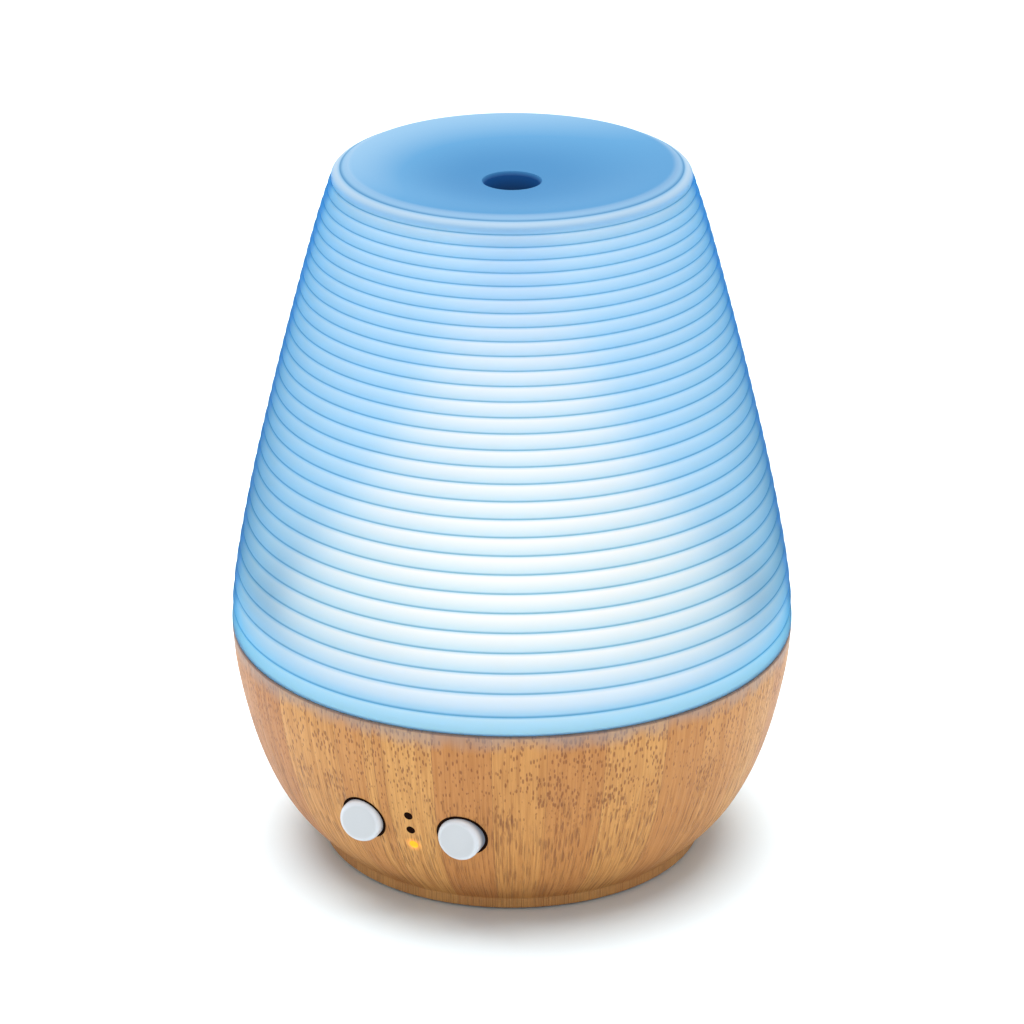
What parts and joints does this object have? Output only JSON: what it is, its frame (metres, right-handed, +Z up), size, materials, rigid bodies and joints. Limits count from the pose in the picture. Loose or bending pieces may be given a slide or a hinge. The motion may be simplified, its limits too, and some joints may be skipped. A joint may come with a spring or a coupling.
{
  "type": "essential oil diffuser",
  "caption": "Ultrasonic essential oil diffuser: bamboo bowl base with push buttons and status lights, and a ribbed translucent lamp shade with a dished top and a central mist hole.",
  "frame": {"origin": "on the surface the feet stand on, at the centre of the round base", "axes": "+Z up through the mist hole; -Y to the front, where the push buttons are; +Y to the back, where the power socket is; +X to the right button's side"},
  "size_m": [0.1362, 0.1362, 0.172],
  "materials": {
    "frosted_shade": "ribbed frosted translucent polypropylene, lit blue from inside",
    "white_plastic": "natural white polypropylene, satin",
    "bamboo": "laminated upright bamboo staves, satin lacquer",
    "dark_plastic": "fine moulded texture",
    "rubber": "matt",
    "steel": "zinc plated",
    "silicone": "soft matt",
    "piezo_ceramic": "fired, silvered face",
    "circuit_board": "green solder mask",
    "copper": "enamelled wire",
    "capacitor_sleeve": "shrink sleeve",
    "button_gloss": "smooth light grey gloss",
    "clear_plastic": "clear acrylic",
    "amber_led": "lens over the chip",
    "led_chip": "phosphor face",
    "wire_insulation": "soft PVC"
  },
  "bodies": {
    "base": {"bamboo_shell": "bamboo", "water_tank": "white_plastic", "bottom_cover": "dark_plastic", "foot_1": "rubber", "foot_2": "rubber", "foot_3": "rubber", "cover_screw_1": "steel", "cover_screw_2": "steel", "cover_screw_3": "steel", "transducer_seal": "silicone", "transducer_disc": "piezo_ceramic", "transducer_retainer": "dark_plastic", "retainer_screw_1": "steel", "retainer_screw_2": "steel", "fan_frame": "dark_plastic", "fan_screw_1": "steel", "fan_screw_2": "steel", "main_board": "circuit_board", "dc_jack": "dark_plastic", "board_connector": "white_plastic", "drive_inductor": "copper", "supply_capacitor": "capacitor_sleeve", "output_capacitor": "capacitor_sleeve", "drive_transistor": "dark_plastic", "board_screw_1": "steel", "board_screw_2": "steel", "control_board": "circuit_board", "left_switch_body": "dark_plastic", "right_switch_body": "dark_plastic", "light_pipe_high": "clear_plastic", "indicator_led_high": "amber_led", "light_pipe_middle": "clear_plastic", "indicator_led_middle": "amber_led", "light_pipe_low": "clear_plastic", "indicator_led_low": "amber_led", "control_board_screw_1": "steel", "control_board_screw_2": "steel", "led_board": "circuit_board", "led_board_screw_1": "steel", "led_board_screw_2": "steel", "led_board_screw_3": "steel", "shade_led_1": "led_chip", "shade_led_2": "led_chip", "shade_led_3": "led_chip", "shade_led_4": "led_chip", "shade_led_5": "led_chip", "shade_led_6": "led_chip", "control_cable": "wire_insulation", "transducer_lead": "wire_insulation", "fan_lead": "wire_insulation", "led_lead": "wire_insulation"},
    "shade": {"shade": "frosted_shade"},
    "mist_cover": {"mist_cover": "white_plastic"},
    "left_button": {"left_button_cap": "button_gloss", "left_switch_plunger": "white_plastic"},
    "right_button": {"right_button_cap": "button_gloss", "right_switch_plunger": "white_plastic"},
    "fan_rotor": {"fan_rotor": "dark_plastic"}
  },
  "joints": [
    {"name": "shade_lift", "type": "slide", "parent": "base", "child": "shade", "axis": [0, 0, 1], "range_m": [0, 0.165]},
    {"name": "mist_cover_lift", "type": "slide", "parent": "base", "child": "mist_cover", "axis": [0, 0, 1], "range_m": [0, 0.0495]},
    {"name": "left_button_press", "type": "slide", "parent": "base", "child": "left_button", "axis": [0, 1, 0], "range_m": [0, 0.0004], "stiffness_N_per_m": 400, "springref_m": -0.0008},
    {"name": "right_button_press", "type": "slide", "parent": "base", "child": "right_button", "axis": [0, 1, 0], "range_m": [0, 0.0004], "stiffness_N_per_m": 400, "springref_m": -0.0008},
    {"name": "fan_spin", "type": "hinge", "parent": "base", "child": "fan_rotor", "pos_m": [-0.01838, -0.01838, 0.0108], "axis": [0, 0, 1], "continuous": true}
  ],
  "couplings": [
    {"joint": "mist_cover_lift", "follows": "shade_lift", "ratio": 0.3}
  ]
}
